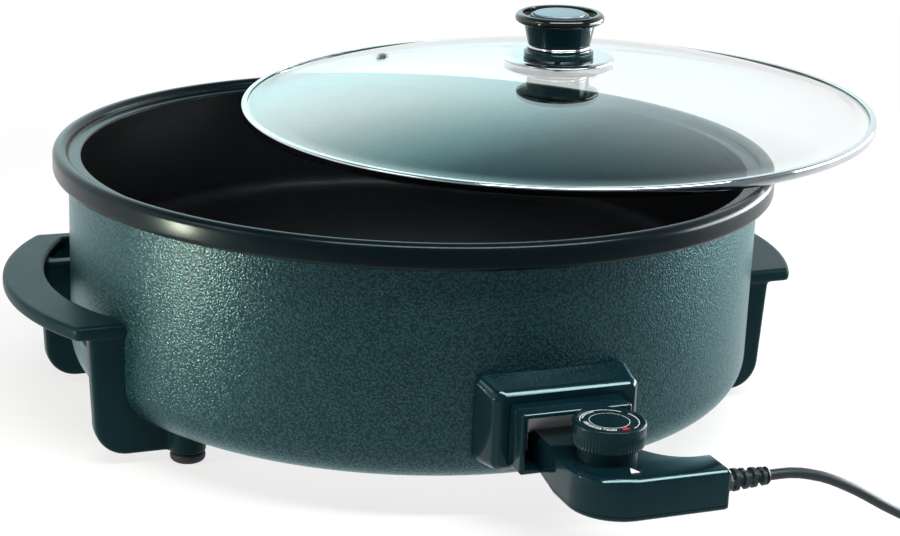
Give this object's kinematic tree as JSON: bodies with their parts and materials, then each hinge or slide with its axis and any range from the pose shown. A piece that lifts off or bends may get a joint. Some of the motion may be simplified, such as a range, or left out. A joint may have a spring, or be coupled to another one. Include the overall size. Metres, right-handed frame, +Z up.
{
  "type": "electric skillet",
  "caption": "Wide round electric skillet on moulded handle legs, with a loose glass lid laid askew on the rim and a plug-in dial control with mains cord.",
  "frame": {"origin": "on the standing surface, under the middle of the bounding box of everything but the free cord", "axes": "+Z up; -Y towards the socket and control; X along the handles, the cord leaves towards +X"},
  "size_m": [0.5677, 0.5486, 0.2211],
  "materials": {
    "shell_paint": "hammered paint, satin gloss",
    "nonstick": "dark non-stick coating, satin; the rolled rim dark teal",
    "steel": "plated",
    "chrome": "polished",
    "aluminium": "as cast",
    "handle_moulding": "satin moulding",
    "gloss_moulding": "high gloss",
    "rubber": "matt",
    "ceramic": "unglazed ceramic",
    "glass": "clear, faint green-blue tint",
    "brass": "bare",
    "print": "white print",
    "cord": "smooth flexible sheath"
  },
  "bodies": {
    "vessel": {"base_plate": "steel", "base_screw_1": "steel", "base_screw_2": "steel", "base_screw_3": "steel", "bezel_screw_left": "steel", "bezel_screw_right": "steel", "cooking_pan": "nonstick", "foot_left_front": "rubber", "foot_left_rear": "rubber", "foot_right_front": "rubber", "foot_right_rear": "rubber", "heat_spreader": "aluminium", "heating_element": "steel", "left_handle": "handle_moulding", "left_handle_screw_front": "steel", "left_handle_screw_rear": "steel", "outer_shell": "shell_paint", "probe_sleeve": "steel", "right_handle": "handle_moulding", "right_handle_screw_front": "steel", "right_handle_screw_rear": "steel", "socket_bezel": "gloss_moulding", "socket_shroud": "gloss_moulding", "terminal_block": "ceramic", "terminal_pin_left": "brass", "terminal_pin_right": "brass"},
    "lid": {"knob_base": "gloss_moulding", "knob_body": "gloss_moulding", "knob_cap": "steel", "knob_flange": "chrome", "knob_gasket": "rubber", "knob_neck_ring": "chrome", "knob_screw": "steel", "knob_washer": "steel", "lid_glass": "glass", "lid_rim_band": "chrome", "steam_vent": "chrome"},
    "control": {"case_screw_1": "steel", "case_screw_2": "steel", "contact_sleeve_left": "brass", "contact_sleeve_right": "brass", "control_case_lower": "gloss_moulding", "control_case_upper": "gloss_moulding", "cord_coil": "cord", "cord_tie": "rubber", "heat_shield": "chrome", "plug_blade_left": "brass", "plug_blade_right": "brass", "plug_body": "cord", "pointer_mark": "print", "probe_rod": "chrome", "strain_relief": "cord", "supply_cord": "cord", "switch_base": "ceramic", "switch_blade": "brass"},
    "dial": {"dial_centre_cap": "gloss_moulding", "dial_knob": "gloss_moulding", "dial_scale_ring": "gloss_moulding", "dial_spindle": "steel"}
  },
  "joints": [
    {"name": "lid_lift", "type": "slide", "parent": "vessel", "child": "lid", "axis": [0, 0, 1], "range_m": [0, 0.15]},
    {"name": "control_pull", "type": "slide", "parent": "vessel", "child": "control", "axis": [0, -1, 0], "range_m": [0, 0.09]},
    {"name": "dial_turn", "type": "hinge", "parent": "control", "child": "dial", "pos_m": [-0.03433, -0.24132, 0.0665], "axis": [0, 0, 1], "range_deg": [0, 270]}
  ]
}
